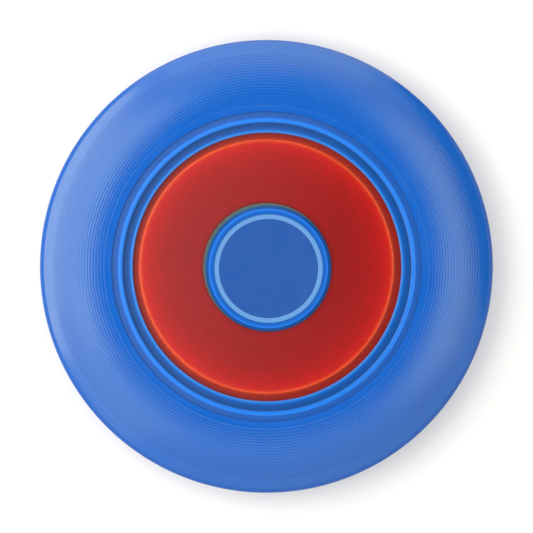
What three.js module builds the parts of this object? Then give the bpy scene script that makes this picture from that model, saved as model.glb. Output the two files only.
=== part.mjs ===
// A flying disc for lawn games: a blue rim and shoulder with a stepped deck,
// a translucent bezel ring, a red deck plate, and a round hub with a label.
// Millimetres, +Z up. The origin is the centre of the circle that the rim stands on.

import * as THREE from "three";

// ---- Driving dimensions ----------------------------------------------------

const DISC_DIAMETER = 240;
const DISC_HEIGHT = 28;
const DECK_DIAMETER = 163.6; // the stepped recess inside the shoulder
const PLATE_DIAMETER = 134.6; // the raised middle of the red plate
const HUB_DIAMETER = 66.4;
const LABEL_DIAMETER = 52;

const SHELL_WALL = 1.5;
const RIM_WALL = 2.8;
const FIT_GAP = 0.3; // clearance round a piece that drops into its seat
const GLUE_GAP = 0.1; // glue line between two glued pieces

const LARGE_SEGMENTS = 72;
const HUB_SEGMENTS = 48;

// ---- Body: rim, nose, shoulder, crown and ledge -----------------------------

const DISC_R = DISC_DIAMETER / 2;
const DECK_R = DECK_DIAMETER / 2;

const RIM_TUCK = 2; // how far the rim leans in from its widest line to its foot
const FOOT_OUT_R = DISC_R - RIM_TUCK;
const FOOT_IN_R = FOOT_OUT_R - RIM_WALL;
const FOOT_FILLET = 0.8;

const NOSE_R = DISC_R - 2.2; // where the shoulder breaks into the bevelled nose
const NOSE_BEVEL_DEG = 40;
const NOSE_ROUND = 2; // between the bevel and the rim wall

const BEAD_HEIGHT = 0.05; // fine bead where the shoulder meets the flat crown
const BEAD_WIDTH = 0.8;
const CROWN_Z = DISC_HEIGHT - BEAD_HEIGHT;
const SHOULDER_R = DECK_R + 3.5;
const SHOULDER_END_SLOPE = Math.tan(THREE.MathUtils.degToRad(30));
const SHOULDER_POWER = 2.2;
const SHOULDER_RUN = NOSE_R - SHOULDER_R;
const SHOULDER_DROP = (SHOULDER_END_SLOPE * SHOULDER_RUN) / SHOULDER_POWER;
const CROWN_FILLET = 0.5;
const INNER_NOSE_R = NOSE_R - 4.9; // where the underside starts to turn down
const NOSE_BREAK_Z = CROWN_Z - SHOULDER_DROP;
const BEVEL_RAD = THREE.MathUtils.degToRad(NOSE_BEVEL_DEG);
const BEVEL_RUN = DISC_R - NOSE_ROUND * (1 - Math.sin(BEVEL_RAD)) - NOSE_R;
const WIDEST_Z = NOSE_BREAK_Z - BEVEL_RUN * Math.tan(BEVEL_RAD) - NOSE_ROUND * Math.cos(BEVEL_RAD);

const LEDGE_TOP_Z = 22;
const LEDGE_IN_R = 69;
const LEDGE_BOTTOM_Z = LEDGE_TOP_Z - SHELL_WALL;
const STEP_WALL_R = DECK_R + SHELL_WALL;

// ---- Bezel ring, which drops into the recess --------------------------------

const RING_OUT_R = DECK_R - GLUE_GAP;
const RING_TOP_Z = CROWN_Z - 0.8;
const RING_SEAT_Z = LEDGE_TOP_Z + GLUE_GAP;
const OUTER_BEAD = { r: 77.35, halfWidth: 1.15, height: 0.5 };
const INNER_BEAD = { r: 71.45, halfWidth: 0.65, height: 0.35 };
const GROOVE_Z = 25.2;
const GROOVE_OUT_R = OUTER_BEAD.r - OUTER_BEAD.halfWidth;
const RING_IN_R = INNER_BEAD.r - INNER_BEAD.halfWidth;
const RING_FOOT_R = 74.6;

// ---- Red deck plate, whose flange the bezel ring holds down -----------------

const FLANGE_BOTTOM_Z = LEDGE_TOP_Z + GLUE_GAP;
const FLANGE_TOP_Z = 23.3;
const FLANGE_OUT_R = RING_FOOT_R - FIT_GAP;
const RING_LIP_Z = FLANGE_TOP_Z + GLUE_GAP;
const PLATE_R = PLATE_DIAMETER / 2;
const PLATE_TOP_Z = 25.4; // at the hole
const PLATE_CROWN = 0.6; // how far the top falls from the hole to the edge
const PLATE_EDGE_Z = PLATE_TOP_Z - PLATE_CROWN;
const PLATE_BOTTOM_Z = 23.2;
const PLATE_EDGE_FILLET = 1;
const HOLE_R = 30.4;
const HOLE_CHAMFER = 0.3;

// ---- Hub: cap, gasket, label and label ring ---------------------------------

const HUB_R = HUB_DIAMETER / 2;
// The cap is glued on by eye and sits to one side of the gasket under its brim.
const HUB_OFFSET = { x: 1, y: -1 };
const HUB_TOP_Z = DISC_HEIGHT;
const HUB_LAND_R = HUB_R - 2.05; // where the flat top breaks into the chamfer
const HUB_CHAMFER_DROP = 1.9;
const HUB_NECK_R = 28.8; // the collar that locates the cap in the plate's hole
const HUB_NECK_BOTTOM_Z = PLATE_BOTTOM_Z - 1.2;
const GASKET_IN_R = HOLE_R;
const GASKET_OUT_R = HUB_R + 0.4;
const GASKET_BOTTOM_Z = PLATE_TOP_Z + GLUE_GAP / 2;
const GASKET_TOP_Z = GASKET_BOTTOM_Z + 0.5;
const HUB_BRIM_Z = GASKET_TOP_Z + GLUE_GAP / 2;
const SEAT_R = 28.7;
const SEAT_Z = HUB_TOP_Z - 0.55;
const LABEL_THICKNESS = 0.25;
const LABEL_BOTTOM_Z = SEAT_Z + GLUE_GAP / 2;
const LABEL_TOP_Z = LABEL_BOTTOM_Z + LABEL_THICKNESS;
const LABEL_R = LABEL_DIAMETER / 2;
const LABEL_RING_IN_R = LABEL_R + GLUE_GAP;
const LABEL_RING_OUT_R = SEAT_R - GLUE_GAP;

// ---- Outline helpers: every outline is a list of [radius, height] -----------

// Points from 0 to 1, both ends included.
function steps(count) {
  return Array.from({ length: count + 1 }, (_, i) => i / count);
}

function arc(centreR, centreZ, radiusR, radiusZ, fromDeg, toDeg, count) {
  return steps(count).map((t) => {
    const angle = THREE.MathUtils.degToRad(THREE.MathUtils.lerp(fromDeg, toDeg, t));
    return [centreR + radiusR * Math.cos(angle), centreZ + radiusZ * Math.sin(angle)];
  });
}

// A low rounded bead on a flat top, from its outer foot to its inner foot.
function bead({ r, halfWidth, height }, baseZ, count) {
  return arc(r, baseZ, halfWidth, height, 0, 180, count);
}

function turn(outline, segments, closed = true) {
  const loop = closed ? [...outline, outline[0]] : outline;
  const points = loop.map(([r, z]) => new THREE.Vector2(r, z));
  const geometry = new THREE.LatheGeometry(points, segments);
  geometry.rotateX(Math.PI / 2);
  return geometry;
}

function piece(name, geometry, colour, roughness) {
  const material = new THREE.MeshStandardMaterial({ color: colour, roughness, metalness: 0 });
  const mesh = new THREE.Mesh(geometry, material);
  mesh.name = name;
  return mesh;
}

// ---- Sub-parts --------------------------------------------------------------

function shoulderZ(r) {
  const t = (r - SHOULDER_R) / SHOULDER_RUN;
  return t > 0 ? CROWN_Z - SHOULDER_DROP * t ** SHOULDER_POWER : CROWN_Z;
}

function shoulderUndersideZ(r) {
  const t = Math.max((r - SHOULDER_R) / SHOULDER_RUN, 0);
  const slope = SHOULDER_END_SLOPE * t ** (SHOULDER_POWER - 1);
  return shoulderZ(r) - SHELL_WALL * Math.hypot(1, slope);
}

// The outer face, from the foot up the wall and over the bevel to the break at the nose.
function rimOutside() {
  const wallSteps = 3;
  const roundSteps = 3;
  const wall = steps(wallSteps).slice(1, -1).map((t) => {
    const z = THREE.MathUtils.lerp(FOOT_FILLET, WIDEST_Z, t);
    return [DISC_R - RIM_TUCK * (1 - t) ** 2, z];
  });
  return [
    ...wall,
    ...arc(DISC_R - NOSE_ROUND, WIDEST_Z, NOSE_ROUND, NOSE_ROUND,
      0, 90 - NOSE_BEVEL_DEG, roundSteps),
    [NOSE_R, NOSE_BREAK_Z],
  ];
}

// The top face, from the nose in to the edge of the recess.
function shoulderOutside() {
  const shoulderSteps = 8;
  const beadSteps = 2;
  const filletSteps = 2;
  const halfBead = BEAD_WIDTH / 2;
  const slope = steps(shoulderSteps).slice(1, -1).map((t) => {
    const r = THREE.MathUtils.lerp(NOSE_R, SHOULDER_R, t);
    return [r, shoulderZ(r)];
  });
  return [
    ...slope,
    ...bead({ r: SHOULDER_R, halfWidth: halfBead, height: BEAD_HEIGHT }, CROWN_Z, beadSteps),
    ...arc(DECK_R + CROWN_FILLET, CROWN_Z - CROWN_FILLET, CROWN_FILLET, CROWN_FILLET,
      90, 180, filletSteps),
  ];
}

// The underside, from the step wall out and down to the foot.
function shellInside() {
  const shoulderSteps = 4;
  const curveSteps = 4;
  const innerWallR = DISC_R - RIM_WALL;
  const under = steps(shoulderSteps).slice(0, -1).map((t) => {
    const r = THREE.MathUtils.lerp(STEP_WALL_R, INNER_NOSE_R, t);
    return [r, shoulderUndersideZ(r)];
  });
  const start = new THREE.Vector2(INNER_NOSE_R, shoulderUndersideZ(INNER_NOSE_R));
  const corner = new THREE.Vector2(innerWallR, start.y - RIM_TUCK);
  const end = new THREE.Vector2(innerWallR, WIDEST_Z);
  const noseCurve = new THREE.QuadraticBezierCurve(start, corner, end);
  return [
    ...under,
    ...noseCurve.getPoints(curveSteps).map((p) => [p.x, p.y]),
  ];
}

function discBody() {
  const filletSteps = 2;
  const outline = [
    ...arc(FOOT_IN_R + FOOT_FILLET, FOOT_FILLET, FOOT_FILLET, FOOT_FILLET, 180, 270, filletSteps),
    ...arc(FOOT_OUT_R - FOOT_FILLET, FOOT_FILLET, FOOT_FILLET, FOOT_FILLET, 270, 360, filletSteps),
    ...rimOutside(),
    ...shoulderOutside(),
    [DECK_R, LEDGE_TOP_Z],
    [LEDGE_IN_R, LEDGE_TOP_Z],
    [LEDGE_IN_R, LEDGE_BOTTOM_Z],
    [STEP_WALL_R, LEDGE_BOTTOM_Z],
    ...shellInside(),
  ];
  return piece("disc_body", turn(outline, LARGE_SEGMENTS), 0x1b69ce, 0.3);
}

function deckRing() {
  const beadSteps = 4;
  const wall = SHELL_WALL;
  const outline = [
    [RING_OUT_R - wall, RING_SEAT_Z],
    [RING_OUT_R, RING_SEAT_Z],
    [RING_OUT_R, RING_TOP_Z],
    ...bead(OUTER_BEAD, RING_TOP_Z, beadSteps),
    [GROOVE_OUT_R, GROOVE_Z],
    ...bead(INNER_BEAD, GROOVE_Z, beadSteps),
    [RING_IN_R, RING_LIP_Z],
    [RING_FOOT_R, RING_LIP_Z],
    [RING_FOOT_R, RING_SEAT_Z],
    [RING_FOOT_R + wall, RING_SEAT_Z],
    [RING_FOOT_R + wall, GROOVE_Z - wall],
    [GROOVE_OUT_R + wall, GROOVE_Z - wall],
    [GROOVE_OUT_R + wall, RING_TOP_Z - wall],
    [RING_OUT_R - wall, RING_TOP_Z - wall],
  ];
  return piece("deck_ring", turn(outline, LARGE_SEGMENTS), 0x2a5aa8, 0.25);
}

function deckPlate() {
  const filletSteps = 3;
  const fillet = PLATE_EDGE_FILLET;
  const stepInR = PLATE_R - SHELL_WALL;
  const outline = [
    [stepInR, FLANGE_BOTTOM_Z],
    [FLANGE_OUT_R, FLANGE_BOTTOM_Z],
    [FLANGE_OUT_R, FLANGE_TOP_Z],
    [PLATE_R, FLANGE_TOP_Z],
    ...arc(PLATE_R - fillet, PLATE_EDGE_Z - fillet, fillet, fillet, 0, 90, filletSteps),
    [HOLE_R + HOLE_CHAMFER, PLATE_TOP_Z],
    [HOLE_R, PLATE_TOP_Z - HOLE_CHAMFER],
    [HOLE_R, PLATE_BOTTOM_Z],
    [stepInR, PLATE_BOTTOM_Z],
  ];
  return piece("deck_plate", turn(outline, LARGE_SEGMENTS), 0xa82e2e, 0.35);
}

function hubGasket() {
  const outline = [
    [GASKET_IN_R, GASKET_BOTTOM_Z],
    [GASKET_OUT_R, GASKET_BOTTOM_Z],
    [GASKET_OUT_R, GASKET_TOP_Z],
    [GASKET_IN_R, GASKET_TOP_Z],
  ];
  return piece("hub_gasket", turn(outline, HUB_SEGMENTS), 0x66756f, 0.9);
}

function hubCap() {
  const neckInR = HUB_NECK_R - SHELL_WALL;
  const roofZ = SEAT_Z - SHELL_WALL;
  const outline = [
    [0, roofZ],
    [neckInR, roofZ],
    [neckInR, HUB_NECK_BOTTOM_Z],
    [HUB_NECK_R, HUB_NECK_BOTTOM_Z],
    [HUB_NECK_R, HUB_BRIM_Z],
    [HUB_R, HUB_BRIM_Z],
    [HUB_R, HUB_TOP_Z - HUB_CHAMFER_DROP],
    [HUB_LAND_R, HUB_TOP_Z],
    [SEAT_R, HUB_TOP_Z],
    [SEAT_R, SEAT_Z],
    [0, SEAT_Z],
  ];
  return piece("hub_cap", turn(outline, HUB_SEGMENTS, false), 0x2460c0, 0.25);
}

function hubLabel() {
  const outline = [
    [0, LABEL_BOTTOM_Z],
    [LABEL_R, LABEL_BOTTOM_Z],
    [LABEL_R, LABEL_TOP_Z],
    [0, LABEL_TOP_Z],
  ];
  return piece("hub_label", turn(outline, HUB_SEGMENTS, false), 0x3562b1, 0.6);
}

function hubLabelRing() {
  const outline = [
    [LABEL_RING_IN_R, LABEL_BOTTOM_Z],
    [LABEL_RING_OUT_R, LABEL_BOTTOM_Z],
    [LABEL_RING_OUT_R, LABEL_TOP_Z],
    [LABEL_RING_IN_R, LABEL_TOP_Z],
  ];
  return piece("hub_label_ring", turn(outline, HUB_SEGMENTS), 0x6fa6e5, 0.6);
}

// ---- Assembly ---------------------------------------------------------------

const hub = new THREE.Group();
hub.add(hubCap(), hubLabel(), hubLabelRing());
hub.position.set(HUB_OFFSET.x, HUB_OFFSET.y, 0);

const disc = new THREE.Group();
disc.add(discBody(), deckRing(), deckPlate(), hubGasket(), hub);

export default disc;
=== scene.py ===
"""A blue and red flying disc for lawn games, lying on a pale floor and seen from straight above.

Metres, +Z up. Every piece of the disc is a body of revolution, so each one is an outline of
(radius, height) points turned about an axis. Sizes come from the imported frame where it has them.
"""

import math

import bpy
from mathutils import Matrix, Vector

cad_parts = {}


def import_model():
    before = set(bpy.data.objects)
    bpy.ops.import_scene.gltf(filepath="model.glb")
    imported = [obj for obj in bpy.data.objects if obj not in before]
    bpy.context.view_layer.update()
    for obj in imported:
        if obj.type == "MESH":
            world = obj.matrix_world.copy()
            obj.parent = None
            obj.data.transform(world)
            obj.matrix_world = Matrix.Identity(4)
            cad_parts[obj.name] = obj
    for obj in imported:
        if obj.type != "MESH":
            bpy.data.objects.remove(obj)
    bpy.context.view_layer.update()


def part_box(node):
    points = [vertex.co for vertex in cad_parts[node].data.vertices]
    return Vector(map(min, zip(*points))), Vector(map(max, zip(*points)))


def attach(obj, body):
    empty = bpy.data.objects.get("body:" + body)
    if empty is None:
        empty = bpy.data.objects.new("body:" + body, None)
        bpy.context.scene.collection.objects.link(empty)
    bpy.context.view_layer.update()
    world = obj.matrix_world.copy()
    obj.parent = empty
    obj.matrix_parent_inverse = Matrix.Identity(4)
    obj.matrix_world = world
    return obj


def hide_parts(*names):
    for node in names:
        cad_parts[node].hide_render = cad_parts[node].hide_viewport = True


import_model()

MM = 0.001

# ---- Sizes read from the frame ------------------------------------------------

BODY_LOW, BODY_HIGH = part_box("disc_body")
RING_LOW, RING_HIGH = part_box("deck_ring")
PLATE_LOW, PLATE_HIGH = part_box("deck_plate")
GASKET_LOW, GASKET_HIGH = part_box("hub_gasket")
HUB_LOW, HUB_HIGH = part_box("hub_cap")
LABEL_LOW, LABEL_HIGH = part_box("hub_label")
LABEL_RING_LOW, LABEL_RING_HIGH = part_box("hub_label_ring")


def half_width(low, high):
    return (high[0] - low[0]) / 2


DISC_R = half_width(BODY_LOW, BODY_HIGH)
DISC_TOP = BODY_HIGH[2]
HUB_X = (HUB_LOW[0] + HUB_HIGH[0]) / 2
HUB_Y = (HUB_LOW[1] + HUB_HIGH[1]) / 2
HUB_CENTRE = (HUB_X, HUB_Y)
DISC_CENTRE = (0.0, 0.0)

# ---- Sizes of the shape between those boxes -----------------------------------

SHELL_WALL = 1.5 * MM
RIM_WALL = 2.8 * MM
GLUE_GAP = 0.1 * MM
SOFT_EDGE = 0.35 * MM  # rounding of a moulded edge
SEAM_EDGE = 0.06 * MM  # rounding beside a close joint
SEAM_GAP = 0.04 * MM

RIM_TUCK = 2 * MM
PARTING_BEAD = 0.06 * MM  # the mould's parting line, proud of the rim's widest line
PARTING_HALF_HEIGHT = 2.5 * PARTING_BEAD
WALL_R = DISC_R - PARTING_BEAD
WALL_SHARES = (0.1, 0.97)  # the curved part of the rim wall, as shares of its height
NOSE_R = DISC_R - 2.2 * MM
NOSE_BEVEL = math.radians(40)
NOSE_ROUND = 2 * MM
NOSE_START_ANGLE = 9  # degrees above level, clear of the parting line
NOSE_BREAK_ROUND = 0.5 * MM
NOSE_BREAK_REACH = 0.5 * MM
FOOT_ROUND = 0.8 * MM

DECK_R = RING_HIGH[0] + SEAM_GAP
BEAD_HEIGHT = 0.05 * MM
BEAD_HALF_WIDTH = 1.0 * MM
CROWN_Z = DISC_TOP - BEAD_HEIGHT
SHOULDER_R = DECK_R + 3.5 * MM
SHOULDER_RUN = NOSE_R - SHOULDER_R
SHOULDER_POWER = 2.2
SHOULDER_END_SLOPE = math.tan(math.radians(30))
SHOULDER_DROP = SHOULDER_END_SLOPE * SHOULDER_RUN / SHOULDER_POWER
NOSE_BREAK_Z = CROWN_Z - SHOULDER_DROP
BEVEL_RUN = WALL_R - NOSE_ROUND * (1 - math.sin(NOSE_BEVEL)) - NOSE_R
WIDEST_Z = NOSE_BREAK_Z - BEVEL_RUN * math.tan(NOSE_BEVEL) - NOSE_ROUND * math.cos(NOSE_BEVEL)

GROOVE_COUNT = 18  # the fine flight grooves of the shoulder
GROOVE_PITCH = 1.58 * MM  # on the flat; the grooves draw together as the shoulder steepens
GROOVE_HALF_WIDTH = 0.42 * MM
GROOVE_DEPTH = 0.045 * MM
FIRST_GROOVE_R = SHOULDER_R + 1.2 * MM
FULL_GROOVE = 3  # counted from the crown, the first groove of full depth

LEDGE_TOP = RING_LOW[2] - GLUE_GAP
LEDGE_BOTTOM = LEDGE_TOP - SHELL_WALL
LEDGE_IN_R = 69 * MM
STEP_WALL_R = DECK_R + SHELL_WALL
STEP_ROUND = 0.8 * MM
INNER_SHELL_R = STEP_WALL_R + 1.2 * MM
INNER_NOSE_R = NOSE_R - 4.9 * MM
INNER_WALL_R = DISC_R - RIM_WALL

RING_OUT_R = RING_HIGH[0]
OUTER_BEAD_R = 77.35 * MM
OUTER_BEAD_HALF = 1.15 * MM
OUTER_BEAD_HEIGHT = 0.35 * MM
INNER_BEAD_R = 71.45 * MM
INNER_BEAD_HALF = 0.65 * MM
INNER_BEAD_HEIGHT = 0.35 * MM
RING_BAND_Z = RING_HIGH[2] - OUTER_BEAD_HEIGHT
CHANNEL_Z = 25.2 * MM
CHANNEL_OUT_R = OUTER_BEAD_R - OUTER_BEAD_HALF
RING_IN_R = INNER_BEAD_R - INNER_BEAD_HALF
RING_FOOT_R = PLATE_HIGH[0] + 0.3 * MM
RING_DRIFT = (0.25 * MM, -0.2 * MM)  # the beads are not quite true to the ring's rim
RING_FIXED_R = RING_OUT_R - 0.5 * MM
RING_FREE_R = RING_OUT_R - 2.5 * MM

PLATE_TOP = PLATE_HIGH[2]
PLATE_EDGE_Z = PLATE_TOP - 0.6 * MM
PLATE_BOTTOM = 23.2 * MM
PLATE_R = 67.3 * MM
FLANGE_TOP = 23.3 * MM
PLATE_EDGE_ROUND = 1.0 * MM
HOLE_R = 30.4 * MM
RING_LIP_Z = FLANGE_TOP + GLUE_GAP

HUB_R = half_width(HUB_LOW, HUB_HIGH)
HUB_TOP = HUB_HIGH[2]
HUB_LAND_R = HUB_R - 2.05 * MM
HUB_CHAMFER_DROP = 1.9 * MM
HUB_EDGE = 0.2 * MM
HUB_BRIM_Z = GASKET_HIGH[2] + GLUE_GAP / 2
NECK_R = 28.8 * MM
LABEL_R = half_width(LABEL_LOW, LABEL_HIGH)
LABEL_RING_IN_R = LABEL_R + GLUE_GAP
LABEL_RING_OUT_R = half_width(LABEL_RING_LOW, LABEL_RING_HIGH)
LABEL_EDGE = 0.05 * MM
SEAT_R = LABEL_RING_OUT_R + SEAM_GAP
SEAT_Z = HUB_TOP - 0.55 * MM
GASKET_OUT_R = half_width(GASKET_LOW, GASKET_HIGH)
GASKET_EDGE = 0.12 * MM

PIN_MARK_R = 2.5 * MM  # round pads left underneath by the mould's ejector pins
PIN_MARK_HEIGHT = 0.15 * MM
PIN_MARK_SINK = 0.05 * MM
BODY_PIN_COUNT = 8
PLATE_PIN_COUNT = 6
PLATE_PIN_CIRCLE_R = 49 * MM

# ---- Fineness of the meshes ------------------------------------------------------

SEGMENTS = 288
PIN_MARK_SEGMENTS = 48
GUARD = 0.06 * MM  # spacing of the rows that keep a flat face flat beside a rounding
FILLET_STEPS = 5
FILLET_LIMIT = 0.4  # the largest share of a side that a rounding takes up
RIM_WALL_STEPS = 12
PARTING_STEPS = 6
NOSE_STEPS = 10
SHOULDER_EDGE_STEPS = 8
GROOVE_STEPS = 6
CROWN_BEAD_STEPS = 10
UNDERSIDE_STEPS = 24
INNER_NOSE_STEPS = 12
OUTER_BEAD_STEPS = 16
INNER_BEAD_STEPS = 12

# ---- Outlines -----------------------------------------------------------------


def spread(start, end, count):
    """count + 1 evenly spaced values from start to end."""
    return [start + (end - start) * i / count for i in range(count + 1)]


def arc(centre_r, centre_z, radius_r, radius_z, start_deg, end_deg, count):
    angles = [math.radians(a) for a in spread(start_deg, end_deg, count)]
    return [
        (centre_r + radius_r * math.cos(a), centre_z + radius_z * math.sin(a))
        for a in angles
    ]


def bead(r, half, height, base, count):
    """A low rounded bead on a flat base, with a guard point before its outer foot."""
    return [(r + half + GUARD, base)] + arc(r, base, half, height, 0, 180, count)


def swell(r, half, height, count):
    """Offsets of one smooth wave along the radius, outer foot first: (radius, height) pairs.

    A guard point on each side keeps the surface beside the wave flat."""
    turns = [math.radians(a) for a in spread(0, 360, count)]
    radii = spread(r + half, r - half, count)
    wave = [(at, height * (1 - math.cos(turn)) / 2) for at, turn in zip(radii, turns)]
    return [(r + half + GUARD, 0), *wave, (r - half - GUARD, 0)]


def fillet(before, corner, after, radius):
    """The corner rounded to a radius, with a guard point on each side of it."""
    corner = Vector(corner)
    back = Vector(before) - corner
    ahead = Vector(after) - corner
    half_angle = back.angle(ahead) / 2
    side = min(back.length, ahead.length)
    reach = min(radius / math.tan(half_angle), FILLET_LIMIT * side)
    radius = reach * math.tan(half_angle)
    back.normalize()
    ahead.normalize()
    centre = corner + (back + ahead).normalized() * radius / math.sin(half_angle)
    start = corner + back * reach - centre
    end = corner + ahead * reach - centre
    sweep = math.atan2(start.cross(end), start.dot(end))
    points = [corner + back * (reach + GUARD)]
    for turn in spread(0, sweep, FILLET_STEPS):
        cos_t, sin_t = math.cos(turn), math.sin(turn)
        points.append(centre + Vector((
            start.x * cos_t - start.y * sin_t,
            start.x * sin_t + start.y * cos_t,
        )))
    points.append(corner + ahead * (reach + GUARD))
    return [tuple(p) for p in points]


def soften(corners, closed=True):
    """An outline from (r, z) points, kept as they are, and (r, z, radius) corners, rounded."""
    outline = []
    last = len(corners) - 1
    for i, corner in enumerate(corners):
        is_end = not closed and i in (0, last)
        if len(corner) == 2 or is_end:
            outline.append(corner[:2])
            continue
        before = corners[i - 1][:2]
        after = corners[(i + 1) % len(corners)][:2]
        outline += fillet(before, corner[:2], after, corner[2])
    return outline


def lathe(name, outline, centre=DISC_CENTRE, closed=True, segments=SEGMENTS):
    """A closed mesh: the outline turned about the vertical axis through centre.

    An open outline starts and ends on the axis."""
    verts = []
    rows = []
    for r, z in outline:
        count = 1 if r == 0 else segments
        rows.append([len(verts) + i for i in range(count)])
        for i in range(count):
            a = 2 * math.pi * i / segments
            verts.append((centre[0] + r * math.cos(a), centre[1] + r * math.sin(a), z))
    pairs = list(zip(rows, rows[1:]))
    if closed:
        pairs.append((rows[-1], rows[0]))
    faces = []
    for low, high in pairs:
        for i in range(segments):
            j = (i + 1) % segments
            if len(low) == 1:
                faces.append((low[0], high[j], high[i]))
            elif len(high) == 1:
                faces.append((low[i], low[j], high[0]))
            else:
                faces.append((low[i], low[j], high[j], high[i]))
    mesh = bpy.data.meshes.new(name)
    mesh.from_pydata(verts, [], faces)
    mesh.shade_smooth()
    mesh.update()
    piece = bpy.data.objects.new(name, mesh)
    bpy.context.scene.collection.objects.link(piece)
    return piece


def pin_marks(name, face_z, circle_r, count, centre=DISC_CENTRE):
    """Round pads under a moulded face, evenly spaced on a circle."""
    low = face_z - PIN_MARK_HEIGHT
    high = face_z + PIN_MARK_SINK
    corners = [(0, low), (PIN_MARK_R, low, SEAM_EDGE), (PIN_MARK_R, high), (0, high)]
    outline = soften(corners, closed=False)
    marks = []
    for i in range(count):
        a = 2 * math.pi * i / count
        at = (centre[0] + circle_r * math.cos(a), centre[1] + circle_r * math.sin(a))
        mark = lathe(f"{name}_{i + 1}", outline, at, closed=False, segments=PIN_MARK_SEGMENTS)
        marks.append(mark)
    return marks


# ---- The body's outline ---------------------------------------------------------


def shoulder_z(r):
    t = max((r - SHOULDER_R) / SHOULDER_RUN, 0)
    return CROWN_Z - SHOULDER_DROP * t**SHOULDER_POWER


def shoulder_slope(r):
    t = max((r - SHOULDER_R) / SHOULDER_RUN, 0)
    return SHOULDER_END_SLOPE * t ** (SHOULDER_POWER - 1)


def groove_radii():
    radii = [FIRST_GROOVE_R]
    while len(radii) < GROOVE_COUNT:
        radii.append(radii[-1] + GROOVE_PITCH / (1 + shoulder_slope(radii[-1]) ** 2))
    return radii


def groove_share(index):
    """Depth of a groove as a share of the full depth, counting from the crown outwards."""
    return min((index + 1) / FULL_GROOVE, 1)


def rim_outside():
    """From the foot up the rim wall, over the parting line and round to the bevel."""
    wall = [
        (WALL_R - RIM_TUCK * (1 - t) ** 2, FOOT_ROUND + (WIDEST_Z - FOOT_ROUND) * t)
        for t in spread(*WALL_SHARES, RIM_WALL_STEPS)
    ]
    parting = arc(WALL_R, WIDEST_Z, PARTING_BEAD, PARTING_HALF_HEIGHT, -90, 90, PARTING_STEPS)
    centre_r = WALL_R - NOSE_ROUND
    bevel_start = 90 - math.degrees(NOSE_BEVEL)
    turn = arc(
        centre_r, WIDEST_Z, NOSE_ROUND, NOSE_ROUND, NOSE_START_ANGLE, bevel_start, NOSE_STEPS
    )
    return wall + parting + turn


def shoulder_outside():
    """From the nose in over the flight grooves and the crown bead to the recess."""
    inward = NOSE_R - 2 * NOSE_BREAK_REACH
    nose_break = fillet(
        (NOSE_R + NOSE_BREAK_REACH, NOSE_BREAK_Z - NOSE_BREAK_REACH * math.tan(NOSE_BEVEL)),
        (NOSE_R, NOSE_BREAK_Z),
        (inward, shoulder_z(inward)),
        NOSE_BREAK_ROUND,
    )
    radii = groove_radii()
    plain_end = radii[-1] + GROOVE_PITCH / 2
    plain = [(r, shoulder_z(r)) for r in spread(inward, plain_end, SHOULDER_EDGE_STEPS)]
    grooves = [
        (r, shoulder_z(r) + dip)
        for i, groove_r in reversed(list(enumerate(radii)))
        for r, dip in swell(
            groove_r, GROOVE_HALF_WIDTH, -GROOVE_DEPTH * groove_share(i), GROOVE_STEPS
        )
    ]
    crown_bead = [
        (r, shoulder_z(r) + rise)
        for r, rise in swell(SHOULDER_R, BEAD_HALF_WIDTH, BEAD_HEIGHT, CROWN_BEAD_STEPS)
    ]
    return nose_break + plain + grooves + crown_bead


def underside_z(r):
    return shoulder_z(r) - SHELL_WALL * math.hypot(1, shoulder_slope(r))


def shell_inside():
    """The underside, from the step wall out to the rim's inner wall."""
    shell = [(r, underside_z(r)) for r in spread(INNER_SHELL_R, INNER_NOSE_R, UNDERSIDE_STEPS)]
    start = Vector(shell[-1])
    corner = Vector((INNER_WALL_R, start.y - RIM_TUCK))
    end = Vector((INNER_WALL_R, WIDEST_Z))
    nose = [
        tuple(start * (1 - t) ** 2 + corner * 2 * t * (1 - t) + end * t**2)
        for t in spread(0, 1, INNER_NOSE_STEPS)[1:]
    ]
    return [(STEP_WALL_R, underside_z(STEP_WALL_R), STEP_ROUND)] + shell + nose


def mark_grooves(shell):
    """Stores on each point of the shell how deep in a flight groove it lies, from 0 to 1."""
    radii = groove_radii()
    marks = shell.data.attributes.new("groove", "FLOAT", "POINT")
    for vert, mark in zip(shell.data.vertices, marks.data):
        r = math.hypot(vert.co.x, vert.co.y)
        offset, nearest = min((abs(r - groove_r), i) for i, groove_r in enumerate(radii))
        if offset < GROOVE_HALF_WIDTH and vert.co.z > shoulder_z(r) - SHELL_WALL / 2:
            wave = (1 + math.cos(math.pi * offset / GROOVE_HALF_WIDTH)) / 2
            mark.value = wave * groove_share(nearest)


def disc_body():
    foot_out = WALL_R - RIM_TUCK
    foot_in = foot_out - RIM_WALL
    corners = [
        (foot_in, 0, FOOT_ROUND),
        (foot_out, 0, FOOT_ROUND),
        *rim_outside(),
        *shoulder_outside(),
        (DECK_R, CROWN_Z, SEAM_EDGE),
        (DECK_R, LEDGE_TOP, SOFT_EDGE),
        (LEDGE_IN_R, LEDGE_TOP, SOFT_EDGE),
        (LEDGE_IN_R, LEDGE_BOTTOM, SOFT_EDGE),
        (STEP_WALL_R, LEDGE_BOTTOM, SOFT_EDGE),
        *shell_inside(),
    ]
    shell = lathe("disc_body_shell", soften(corners))
    mark_grooves(shell)
    ledge_middle_r = (LEDGE_IN_R + STEP_WALL_R) / 2
    return [shell, *pin_marks("body_pin_mark", LEDGE_BOTTOM, ledge_middle_r, BODY_PIN_COUNT)]


# ---- The other pieces' outlines --------------------------------------------------


def set_off_centre(piece, drift, fixed_r, free_r):
    """Shifts the part inside the free radius sideways, fading to nothing at the fixed radius."""
    for vert in piece.data.vertices:
        share = (fixed_r - math.hypot(vert.co.x, vert.co.y)) / (fixed_r - free_r)
        share = min(max(share, 0), 1)
        vert.co.x += drift[0] * share
        vert.co.y += drift[1] * share


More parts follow.
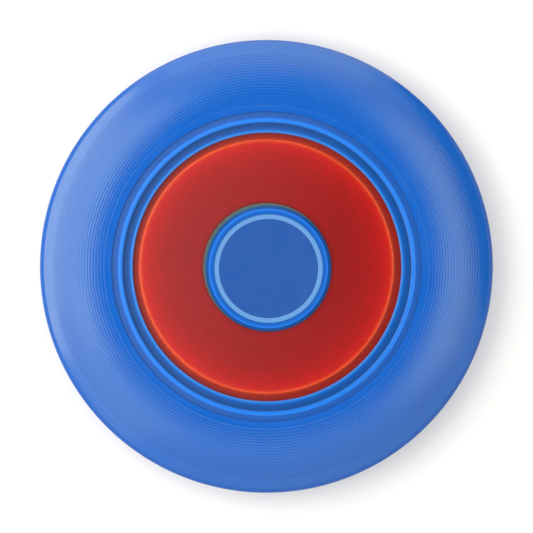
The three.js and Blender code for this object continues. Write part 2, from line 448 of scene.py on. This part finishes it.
def deck_ring():
    wall = SHELL_WALL
    edge = SOFT_EDGE
    corners = [
        (RING_OUT_R - wall, RING_LOW[2], edge),
        (RING_OUT_R, RING_LOW[2], edge),
        (RING_OUT_R, RING_BAND_Z, SEAM_EDGE),
        *bead(OUTER_BEAD_R, OUTER_BEAD_HALF, OUTER_BEAD_HEIGHT, RING_BAND_Z, OUTER_BEAD_STEPS),
        (CHANNEL_OUT_R, CHANNEL_Z, edge),
        *bead(INNER_BEAD_R, INNER_BEAD_HALF, INNER_BEAD_HEIGHT, CHANNEL_Z, INNER_BEAD_STEPS),
        (RING_IN_R, RING_LIP_Z, edge),
        (RING_FOOT_R, RING_LIP_Z, edge),
        (RING_FOOT_R, RING_LOW[2], edge),
        (RING_FOOT_R + wall, RING_LOW[2], edge),
        (RING_FOOT_R + wall, CHANNEL_Z - wall, edge),
        (CHANNEL_OUT_R + wall, CHANNEL_Z - wall, edge),
        (CHANNEL_OUT_R + wall, RING_BAND_Z - wall, edge),
        (RING_OUT_R - wall, RING_BAND_Z - wall, edge),
    ]
    ring = lathe("bezel_ring", soften(corners))
    set_off_centre(ring, RING_DRIFT, RING_FIXED_R, RING_FREE_R)
    return [ring]


def deck_plate():
    step_in = PLATE_R - SHELL_WALL
    edge = SOFT_EDGE
    corners = [
        (step_in, PLATE_LOW[2], edge),
        (PLATE_HIGH[0], PLATE_LOW[2], edge),
        (PLATE_HIGH[0], FLANGE_TOP, edge),
        (PLATE_R, FLANGE_TOP, edge),
        (PLATE_R, PLATE_EDGE_Z, PLATE_EDGE_ROUND),
        (HOLE_R, PLATE_TOP, edge),
        (HOLE_R, PLATE_BOTTOM, edge),
        (step_in, PLATE_BOTTOM, edge),
    ]
    plate = lathe("red_plate", soften(corners))
    return [plate, *pin_marks("plate_pin_mark", PLATE_BOTTOM, PLATE_PIN_CIRCLE_R, PLATE_PIN_COUNT)]


def hub_gasket():
    corners = [
        (HOLE_R, GASKET_LOW[2], GASKET_EDGE),
        (GASKET_OUT_R, GASKET_LOW[2], GASKET_EDGE),
        (GASKET_OUT_R, GASKET_HIGH[2], GASKET_EDGE),
        (HOLE_R, GASKET_HIGH[2], GASKET_EDGE),
    ]
    return [lathe("foam_washer", soften(corners))]


def hub_cap():
    edge = SOFT_EDGE
    roof = SEAT_Z - SHELL_WALL
    corners = [
        (0, roof),
        (NECK_R - SHELL_WALL, roof, 2 * edge),
        (NECK_R - SHELL_WALL, HUB_LOW[2], edge),
        (NECK_R, HUB_LOW[2], edge),
        (NECK_R, HUB_BRIM_Z, edge),
        (HUB_R, HUB_BRIM_Z),
        (HUB_R, HUB_TOP - HUB_CHAMFER_DROP, HUB_EDGE),
        (HUB_LAND_R, HUB_TOP, HUB_EDGE),
        (SEAT_R, HUB_TOP, SEAM_EDGE),
        (SEAT_R, SEAT_Z, SEAM_EDGE),
        (0, SEAT_Z),
    ]
    cap = lathe("hub_cap_shell", soften(corners, closed=False), HUB_CENTRE, closed=False)
    return [cap, *pin_marks("hub_gate_mark", roof, 0, 1, HUB_CENTRE)]


def hub_label():
    corners = [
        (0, LABEL_LOW[2]),
        (LABEL_R, LABEL_LOW[2], LABEL_EDGE),
        (LABEL_R, LABEL_HIGH[2], LABEL_EDGE),
        (0, LABEL_HIGH[2]),
    ]
    return [lathe("label_disc", soften(corners, closed=False), HUB_CENTRE, closed=False)]


def hub_label_ring():
    corners = [
        (LABEL_RING_IN_R, LABEL_RING_LOW[2], LABEL_EDGE),
        (LABEL_RING_OUT_R, LABEL_RING_LOW[2], LABEL_EDGE),
        (LABEL_RING_OUT_R, LABEL_RING_HIGH[2], LABEL_EDGE),
        (LABEL_RING_IN_R, LABEL_RING_HIGH[2], LABEL_EDGE),
    ]
    return [lathe("label_print_ring", soften(corners), HUB_CENTRE)]


# ---- Material building blocks ------------------------------------------------------

WHITE = (1, 1, 1, 1)
NOISE_ROUGHNESS = 0.55
MOTTLE_DRIFT = 30 * MM  # size of the broad unevenness of a moulded colour
MOTTLE_GRAIN = 1.1 * MM
GRAIN_SHARE = 0.8  # the rest is drift
MOTTLE_RANGE = (0.35, 0.65)  # the part of a noise's 0..1 that is spread over the whole effect
SMUDGE_RANGE = (0.3, 0.7)
HANDLED_RANGE = (0.05, 0.95)
HANDLED_SIDE = 160  # azimuth, in degrees, of the side that handling has dulled
HANDLED_HALF_SPAN = 60 * MM
HANDLED_SHARE = 0.8  # the rest is smudges
SMUDGE_SIZE = 8 * MM
LEVEL = 90  # tilt of a level direction, in degrees


def direction(azimuth, tilt):
    """A unit vector from its azimuth and its tilt from straight up, both in degrees."""
    a, t = math.radians(azimuth), math.radians(tilt)
    return Vector((math.sin(t) * math.cos(a), math.sin(t) * math.sin(a), math.cos(t)))


class Nodes:
    """Short ways to add and join the nodes of one node tree."""

    def __init__(self, owner):
        owner.use_nodes = True
        self.nodes = owner.node_tree.nodes
        self.links = owner.node_tree.links

    def add(self, kind, **settings):
        node = self.nodes.new(kind)
        for key, value in settings.items():
            setattr(node, key, value)
        return node

    def feed(self, node, socket, value):
        if isinstance(value, bpy.types.NodeSocket):
            self.links.new(value, node.inputs[socket])
        else:
            node.inputs[socket].default_value = value

    def remap(self, value, low, high, to_low, to_high, kind="LINEAR"):
        node = self.add("ShaderNodeMapRange", interpolation_type=kind)
        self.feed(node, "Value", value)
        self.feed(node, "From Min", low)
        self.feed(node, "From Max", high)
        self.feed(node, "To Min", to_low)
        self.feed(node, "To Max", to_high)
        return node.outputs["Result"]

    def maths(self, operation, a, b):
        node = self.add("ShaderNodeMath", operation=operation)
        self.feed(node, 0, a)
        self.feed(node, 1, b)
        return node.outputs["Value"]


class Surface(Nodes):
    """A material of one Principled shader, with its place in the disc as coordinates."""

    def __init__(self, name, ior=1.5, specular=0.5, highlight=(1, 1, 1)):
        self.material = bpy.data.materials.new(name)
        super().__init__(self.material)
        self.shader = self.nodes["Principled BSDF"]
        self.shader.inputs["IOR"].default_value = ior
        self.shader.inputs["Specular IOR Level"].default_value = specular
        self.shader.inputs["Specular Tint"].default_value = (*highlight, 1)
        self.position = self.nodes.new("ShaderNodeTexCoord").outputs["Object"]

    def noise(self, size, detail=3.0):
        """A 0..1 noise with features about size metres across."""
        mapping = self.add("ShaderNodeMapping")
        self.feed(mapping, "Vector", self.position)
        self.feed(mapping, "Scale", Vector((1, 1, 1)) / size)
        noise = self.add("ShaderNodeTexNoise")
        self.feed(noise, "Vector", mapping.outputs["Vector"])
        self.feed(noise, "Scale", 1.0)
        self.feed(noise, "Detail", detail)
        self.feed(noise, "Roughness", NOISE_ROUGHNESS)
        return noise.outputs["Fac"]

    def radius(self, centre):
        """Distance from the piece's axis, in metres."""
        shift = self.add("ShaderNodeVectorMath", operation="SUBTRACT")
        self.feed(shift, 0, self.position)
        self.feed(shift, 1, (centre[0], centre[1], 0))
        flat = self.add("ShaderNodeVectorMath", operation="MULTIPLY")
        self.feed(flat, 0, shift.outputs["Vector"])
        self.feed(flat, 1, (1, 1, 0))
        length = self.add("ShaderNodeVectorMath", operation="LENGTH")
        self.feed(length, 0, flat.outputs["Vector"])
        return length.outputs["Value"]

    def radial_colour(self, centre, stops):
        """Colours that change with the radius: stops are (radius, linear colour)."""
        r_low, r_high = stops[0][0], stops[-1][0]
        place = self.remap(self.radius(centre), r_low, r_high, 0, 1)
        ramp = self.add("ShaderNodeValToRGB")
        self.feed(ramp, "Fac", place)
        elements = ramp.color_ramp.elements
        for _ in stops[2:]:
            elements.new(0.5)
        for element, (r, colour) in zip(elements, stops):
            element.position = (r - r_low) / (r_high - r_low)
            element.color = (*colour, 1)
        return ramp.outputs["Color"]

    def across(self, azimuth, half_span):
        """0 to 1 over the disc, towards the side at the azimuth."""
        along = self.add("ShaderNodeVectorMath", operation="DOT_PRODUCT")
        self.feed(along, 0, self.position)
        self.feed(along, 1, direction(azimuth, LEVEL))
        return self.remap(along.outputs["Value"], -half_span, half_span, 0, 1, "SMOOTHSTEP")

    def shade(self, colour, amount):
        """The colour multiplied by a number."""
        node = self.add("ShaderNodeHueSaturation")
        self.feed(node, "Color", colour)
        self.feed(node, "Value", amount)
        return node.outputs["Color"]

    def multiplied_where(self, colour, factor, share):
        """The colour multiplied by the factor, one per channel, where the share is 1."""
        node = self.add("ShaderNodeMixRGB", blend_type="MULTIPLY")
        self.feed(node, "Color1", colour)
        self.feed(node, "Color2", (*factor, 1))
        self.feed(node, "Fac", share)
        return node.outputs["Color"]

    def colour(self, value):
        self.feed(self.shader, "Base Color", value)

    def roughness(self, value):
        self.feed(self.shader, "Roughness", value)

    def grain(self, size, depth):
        """A fine relief with features about size metres across and depth metres deep."""
        node = self.add("ShaderNodeBump")
        self.feed(node, "Height", self.noise(size))
        self.feed(node, "Distance", depth)
        self.feed(self.shader, "Normal", node.outputs["Normal"])


def linear(red, green, blue):
    """A linear colour from sRGB values of 0 to 255."""
    def one(value):
        v = value / 255
        return v / 12.92 if v <= 0.04045 else ((v + 0.055) / 1.055) ** 2.4
    return one(red), one(green), one(blue)


def mottled(surface, colour, low, high):
    """Slight unevenness of a moulded colour: mostly a fine grain over a faint broad drift."""
    drift = surface.maths("MULTIPLY", surface.noise(MOTTLE_DRIFT, detail=1), 1 - GRAIN_SHARE)
    grain = surface.maths("MULTIPLY", surface.noise(MOTTLE_GRAIN, detail=2), GRAIN_SHARE)
    both = surface.maths("ADD", drift, grain)
    return surface.shade(colour, surface.remap(both, *MOTTLE_RANGE, low, high))


def smudged(surface, size, clean, dull, detail=3.0):
    """Roughness that wanders between two values in patches about size metres across."""
    return surface.remap(surface.noise(size, detail), *SMUDGE_RANGE, clean, dull)


def handled(surface, fresh, dulled):
    """Roughness of a face that handling has dulled towards one side of the disc."""
    across = surface.across(HANDLED_SIDE, HANDLED_HALF_SPAN)
    place = surface.maths("MULTIPLY", across, HANDLED_SHARE)
    smudges = surface.maths("MULTIPLY", surface.noise(SMUDGE_SIZE), 1 - HANDLED_SHARE)
    both = surface.maths("ADD", place, smudges)
    return surface.remap(both, *HANDLED_RANGE, fresh, dulled)


# ---- Materials -----------------------------------------------------------------------

GROOVE_PAINTED_SHADE = (1, 0.6, 0.8)  # painted shade: the body's colour is multiplied by these factors at the bottom of a full groove


def body_blue():
    plastic = Surface("body_blue_plastic", ior=1.55, highlight=(1, 1, 0.42))
    # Painted shade: the body's colour is lightest on the middle of the shoulder and darkens out to
    # the rim as the wall steepens.
    stops = [
        (DECK_R, (0.001, 0.082, 0.392)),
        (SHOULDER_R + 12 * MM, (0.001, 0.097, 0.412)),
        (NOSE_R, (0.001, 0.084, 0.382)),
        (DISC_R, (0.001, 0.068, 0.35)),
    ]
    # Painted shade: the colour darkens towards the bottom of each flight groove.
    depth = plastic.add("ShaderNodeAttribute", attribute_name="groove").outputs["Fac"]
    open_face_painted_shade = plastic.radial_colour(DISC_CENTRE, stops)
    groove_shaded = plastic.multiplied_where(open_face_painted_shade, GROOVE_PAINTED_SHADE, depth)
    plastic.colour(mottled(plastic, groove_shaded, 0.97, 1.03))
    plastic.roughness(smudged(plastic, 22 * MM, 0.17, 0.23, detail=4))
    plastic.grain(0.5 * MM, 0.004 * MM)
    return plastic.material


def ring_blue():
    plastic = Surface("ring_blue_plastic", specular=0.34)
    # Painted light: the colour is lighter along both beads as painted highlights and darker in the
    # channel beside the outer bead's wall as painted shade; it is also darker across the outer
    # band.
    stops = [
        (RING_IN_R, linear(60, 84, 150)),
        (INNER_BEAD_R + 0.1 * MM, linear(22, 116, 194)),
        (INNER_BEAD_R + INNER_BEAD_HALF, linear(20, 104, 184)),
        (INNER_BEAD_R + INNER_BEAD_HALF + 0.6 * MM, linear(8, 76, 154)),
        (INNER_BEAD_R + INNER_BEAD_HALF + 1.8 * MM, linear(8, 68, 134)),
        (CHANNEL_OUT_R - 0.4 * MM, linear(10, 70, 132)),
        (CHANNEL_OUT_R + 0.25 * MM, linear(12, 98, 188)),
        (OUTER_BEAD_R, linear(12, 108, 200)),
        (OUTER_BEAD_R + 0.7 * MM, linear(14, 108, 200)),
        (OUTER_BEAD_R + OUTER_BEAD_HALF + 0.1 * MM, linear(20, 84, 168)),
        (OUTER_BEAD_R + OUTER_BEAD_HALF + 1.2 * MM, linear(22, 76, 148)),
        (RING_OUT_R, linear(24, 76, 146)),
    ]
    plastic.colour(mottled(plastic, plastic.radial_colour(RING_DRIFT, stops), 0.97, 1.03))
    plastic.roughness(handled(plastic, 0.2, 0.42))
    plastic.grain(0.4 * MM, 0.004 * MM)
    return plastic.material


def plate_red():
    plastic = Surface("plate_red_plastic", specular=0.42)
    # Painted light: the red is darker beside the washer as painted shade around the hub. It grows
    # lighter towards the plate's edge as a painted glow, carries an orange painted highlight along
    # that edge, and is darker again on the flange beyond it as painted shade.
    stops = [
        (GASKET_OUT_R, linear(102, 8, 7)),
        (GASKET_OUT_R + 1.0 * MM, linear(123, 8, 7)),
        (GASKET_OUT_R + 2.4 * MM, linear(132, 8, 7)),
        (0.65 * PLATE_R, linear(130, 8, 7)),
        (0.8 * PLATE_R, linear(137, 8, 7)),
        (0.9 * PLATE_R, linear(151, 8, 7)),
        (0.965 * PLATE_R, linear(168, 16, 7)),
        (PLATE_R - 1.3 * MM, linear(180, 42, 12)),
        (PLATE_R - 0.6 * MM, linear(198, 68, 24)),
        (PLATE_R, linear(186, 53, 12)),
        (PLATE_R + 0.8 * MM, linear(147, 26, 6)),
        (PLATE_R + 1.8 * MM, linear(130, 21, 9)),
        (RING_IN_R, linear(132, 24, 12)),
    ]
    plastic.colour(mottled(plastic, plastic.radial_colour(DISC_CENTRE, stops), 0.85, 1.11))
    plastic.roughness(handled(plastic, 0.22, 0.37))
    plastic.grain(0.6 * MM, 0.006 * MM)
    return plastic.material


def gasket_grey():
    foam = Surface("gasket_foam", specular=0.2)
    stops = [
        (HOLE_R, linear(72, 92, 92)),
        (GASKET_OUT_R - 0.45 * MM, linear(72, 90, 88)),
        (GASKET_OUT_R, linear(98, 58, 56)),
    ]
    foam.colour(mottled(foam, foam.radial_colour(DISC_CENTRE, stops), 0.85, 1.1))
    foam.roughness(0.95)
    foam.grain(0.25 * MM, 0.03 * MM)
    return foam.material


def hub_blue():
    plastic = Surface("hub_blue_plastic", specular=0.13)
    # Painted light: a lighter line along the edge of the hub's top is a painted highlight, and the
    # darker chamfer below it is painted shade.
    stops = [
        (SEAT_R, linear(24, 82, 156)),
        (HUB_LAND_R - 1.1 * MM, linear(22, 84, 164)),
        (HUB_LAND_R - 0.5 * MM, linear(24, 92, 180)),
        (HUB_LAND_R - 0.05 * MM, linear(32, 112, 214)),
        (HUB_LAND_R + 0.15 * MM, linear(28, 104, 200)),
        (HUB_LAND_R + 0.5 * MM, linear(18, 74, 142)),
        (HUB_R, linear(18, 68, 122)),
    ]
    plastic.colour(mottled(plastic, plastic.radial_colour(HUB_CENTRE, stops), 0.97, 1.03))
    plastic.roughness(smudged(plastic, 6 * MM, 0.2, 0.28))
    plastic.grain(0.4 * MM, 0.004 * MM)
    return plastic.material


def printed_vinyl(name, colour):
    vinyl = Surface(name, specular=0.35)
    vinyl.colour(mottled(vinyl, (*colour, 1), 0.96, 1.04))
    vinyl.roughness(smudged(vinyl, 5 * MM, 0.32, 0.42))
    vinyl.grain(0.3 * MM, 0.005 * MM)
    return vinyl.material


def label_blue():
    return printed_vinyl("label_blue_vinyl", linear(14, 69, 140))


def label_light_blue():
    return printed_vinyl("label_light_vinyl", linear(82, 131, 183))


# ---- Stage ----------------------------------------------------------------------------

FLOOR_HALF_WIDTH = 6.0
FLOOR_COLOUR = (0.691, 0.68, 0.654)
FLOOR_GLOW = 0.1
CAMERA_LENS = 250
CAMERA_SENSOR = 36
CAMERA_CLIP_END = 50
DISC_SHARE_OF_FRAME = 0.85
CAMERA_SIDESTEP = (-12 * MM, 17 * MM)  # the camera is not quite over the disc's centre

# Directions are given as azimuth and tilt from straight up, both in degrees.
# Softboxes: name, azimuth, tilt, width and height in metres, and radiance. All stand at the
# same distance and face the disc.
SOFTBOX_DISTANCE = 1.0
SOFTBOXES = [
    ("key_left", 164, 33, 0.78, 0.56, 2.05),
    ("key_low", 165, 61, 1.34, 0.34, 3.7),
    ("key_front", 217, 43, 0.50, 0.72, 0.95),
    ("fill_back", 90, 58, 0.90, 0.42, 1.0),
    ("low_back", 90, 82, 1.40, 0.24, 1.6),
    ("fill_right", 6, 32, 0.90, 0.50, 1.4),
    ("low_right", 5, 80, 1.20, 0.20, 0.8),
]
# The studio is a pale tent with a dark opening over the disc and a dark screen to its right.
TENT_LIGHT = 1.15
HORIZON_LIGHT = 0.5
TENT_HEIGHT = 0.4  # sine of the height angle where the tent reaches its full light
# Dark patches: azimuth, tilt, half angle, softness, and the share of light taken away.
DARK_PATCHES = [
    (65, 4, 6, 9, 0.95),
    (68, 16, 10, 10, 0.75),
    (19, 90, 40, 5, 0.85),
]


def softbox(name, azimuth, tilt, width, height, radiance):
    light = bpy.data.lights.new(name, "AREA")
    light.shape = "RECTANGLE"
    light.size = width
    light.size_y = height
    light.energy = radiance * math.pi * width * height
    lamp = bpy.data.objects.new(name, light)
    toward = direction(azimuth, tilt)
    lamp.location = toward * SOFTBOX_DISTANCE
    lamp.rotation_euler = toward.to_track_quat("Z", "Y").to_euler()
    lamp.visible_camera = False
    bpy.context.scene.collection.objects.link(lamp)


def floor():
    h = FLOOR_HALF_WIDTH
    mesh = bpy.data.meshes.new("floor")
    mesh.from_pydata([(-h, -h, 0), (h, -h, 0), (h, h, 0), (-h, h, 0)], [], [(0, 1, 2, 3)])
    plane = bpy.data.objects.new("floor", mesh)
    bpy.context.scene.collection.objects.link(plane)
    paper = Surface("floor_paper", specular=0.1)
    paper.colour(mottled(paper, (*FLOOR_COLOUR, 1), 0.995, 1.005))
    paper.roughness(0.9)
    paper.feed(paper.shader, "Emission Color", WHITE)
    paper.feed(paper.shader, "Emission Strength", FLOOR_GLOW)
    mesh.materials.append(paper.material)


def world():
    tent = bpy.data.worlds.new("studio_tent")
    tree = Nodes(tent)
    look = tree.add("ShaderNodeTexCoord").outputs["Generated"]
    height = tree.add("ShaderNodeSeparateXYZ")
    tree.feed(height, "Vector", look)
    level = tree.remap(height.outputs["Z"], 0, TENT_HEIGHT, HORIZON_LIGHT, TENT_LIGHT)
    for azimuth, tilt, half_angle, softness, share in DARK_PATCHES:
        facing = tree.add("ShaderNodeVectorMath", operation="DOT_PRODUCT")
        tree.feed(facing, 0, look)
        tree.feed(facing, 1, direction(azimuth, tilt))
        outer = math.cos(math.radians(half_angle + softness))
        inner = math.cos(math.radians(half_angle))
        kept = tree.remap(facing.outputs["Value"], outer, inner, 1, 1 - share, "SMOOTHSTEP")
        level = tree.maths("MULTIPLY", level, kept)
    tree.feed(tree.nodes["Background"], "Strength", level)
    tree.feed(tree.nodes["Background"], "Color", WHITE)
    bpy.context.scene.world = tent


def camera():
    data = bpy.data.cameras.new("camera")
    data.lens = CAMERA_LENS
    data.sensor_width = CAMERA_SENSOR
    data.clip_end = CAMERA_CLIP_END
    view = bpy.data.objects.new("camera", data)
    frame_width = 2 * DISC_R / DISC_SHARE_OF_FRAME
    target = Vector((0, 0, WIDEST_Z))
    away = Vector((*CAMERA_SIDESTEP, frame_width * CAMERA_LENS / CAMERA_SENSOR))
    view.location = target + away
    view.rotation_euler = Vector((0, 0, 1)).rotation_difference(away).to_euler()
    bpy.context.scene.collection.objects.link(view)
    bpy.context.scene.camera = view


# ---- The disc ---------------------------------------------------------------------------

# Each piece: its shape, its material, the node that it stands for and its material slot.
PIECES = [
    (disc_body, body_blue, "disc_body", "body_blue"),
    (deck_ring, ring_blue, "deck_ring", "ring_blue"),
    (deck_plate, plate_red, "deck_plate", "plate_red"),
    (hub_gasket, gasket_grey, "hub_gasket", "gasket_grey"),
    (hub_cap, hub_blue, "hub_cap", "hub_blue"),
    (hub_label, label_blue, "hub_label", "label_blue"),
    (hub_label_ring, label_light_blue, "hub_label_ring", "label_light_blue"),
]

for make, finish, node, slot in PIECES:
    material = finish()
    for piece in make():
        piece.data.materials.append(material)
        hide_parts(node)
        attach(piece, "root")

camera()
world()
floor()
for box in SOFTBOXES:
    softbox(*box)

scene = bpy.context.scene
scene.view_settings.view_transform = "Standard"
scene.view_settings.look = "None"
